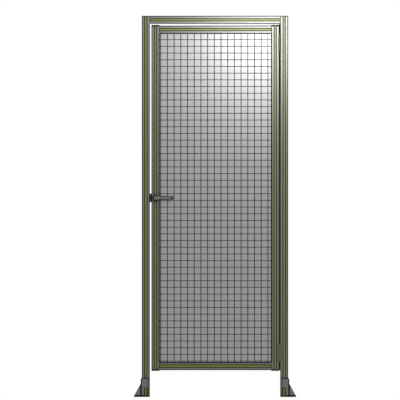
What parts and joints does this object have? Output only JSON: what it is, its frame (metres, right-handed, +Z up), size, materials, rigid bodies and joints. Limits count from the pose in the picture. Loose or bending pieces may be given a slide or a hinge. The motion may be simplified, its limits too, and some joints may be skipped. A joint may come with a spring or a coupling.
{
  "type": "mesh guard door",
  "caption": "Hinged guard door of slotted aluminium profile with yellow slot strips, a welded mesh panel over a tinted sheet, barrel hinges, a lever latch and posts on floor feet.",
  "frame": {"origin": "on the floor under the centre of the hinge post, on the underside of its foot", "axes": "+Z up; +X to the right along the fence; the front of the door looks towards -Y"},
  "size_m": [0.91, 0.147, 2.135],
  "materials": {
    "profile": "satin anodised",
    "strip": "satin",
    "foot": "cast, coated",
    "hinge": "satin",
    "steel": "plated",
    "seal": "matte",
    "cap": "matte",
    "mesh": "satin",
    "sheet": "tinted, clear",
    "lever": "satin anodised"
  },
  "bodies": {
    "frame": {"hinge_post": "profile", "lock_post": "profile", "header": "profile", "hinge_post_strips": "strip", "lock_post_strips": "strip", "header_strips": "strip", "hinge_post_foot": "foot", "lock_post_foot": "foot", "hinge_post_halves": "hinge", "hinge_pins": "steel", "hinge_gap_seal": "seal", "latch_keeper": "steel"},
    "door": {"hinge_stile": "profile", "lock_stile": "profile", "top_rail": "profile", "bottom_rail": "profile", "hinge_stile_strips": "strip", "lock_stile_strips": "strip", "top_rail_strips": "strip", "bottom_rail_strips": "strip", "hinge_stile_caps": "cap", "lock_stile_caps": "cap", "mesh_lower": "mesh", "mesh_middle": "mesh", "mesh_upper": "mesh", "backing_sheet": "sheet", "hinge_door_halves": "hinge", "lock_faceplate": "steel", "front_rosette": "cap", "back_rosette": "cap"},
    "lever": {"front_lever": "lever", "back_lever": "lever", "lever_spindle": "steel"},
    "latch": {"latch_tongue": "steel"}
  },
  "joints": [
    {"name": "door_swing", "type": "hinge", "parent": "frame", "child": "door", "pos_m": [-0.025, -0.0305, 1.115], "axis": [0, 0, 1], "range_deg": [0, 170]},
    {"name": "lever_turn", "type": "hinge", "parent": "door", "child": "lever", "pos_m": [-0.721, 0, 1.115], "axis": [0, 1, 0], "range_deg": [0, 45], "stiffness_Nm_per_rad": 0.6, "springref_deg": -34.38},
    {"name": "latch_slide", "type": "slide", "parent": "door", "child": "latch", "axis": [1, 0, 0], "range_m": [0, 0.014]}
  ],
  "couplings": [
    {"joint": "latch_slide", "follows": "lever_turn", "m_per_rad": 0.01782}
  ]
}
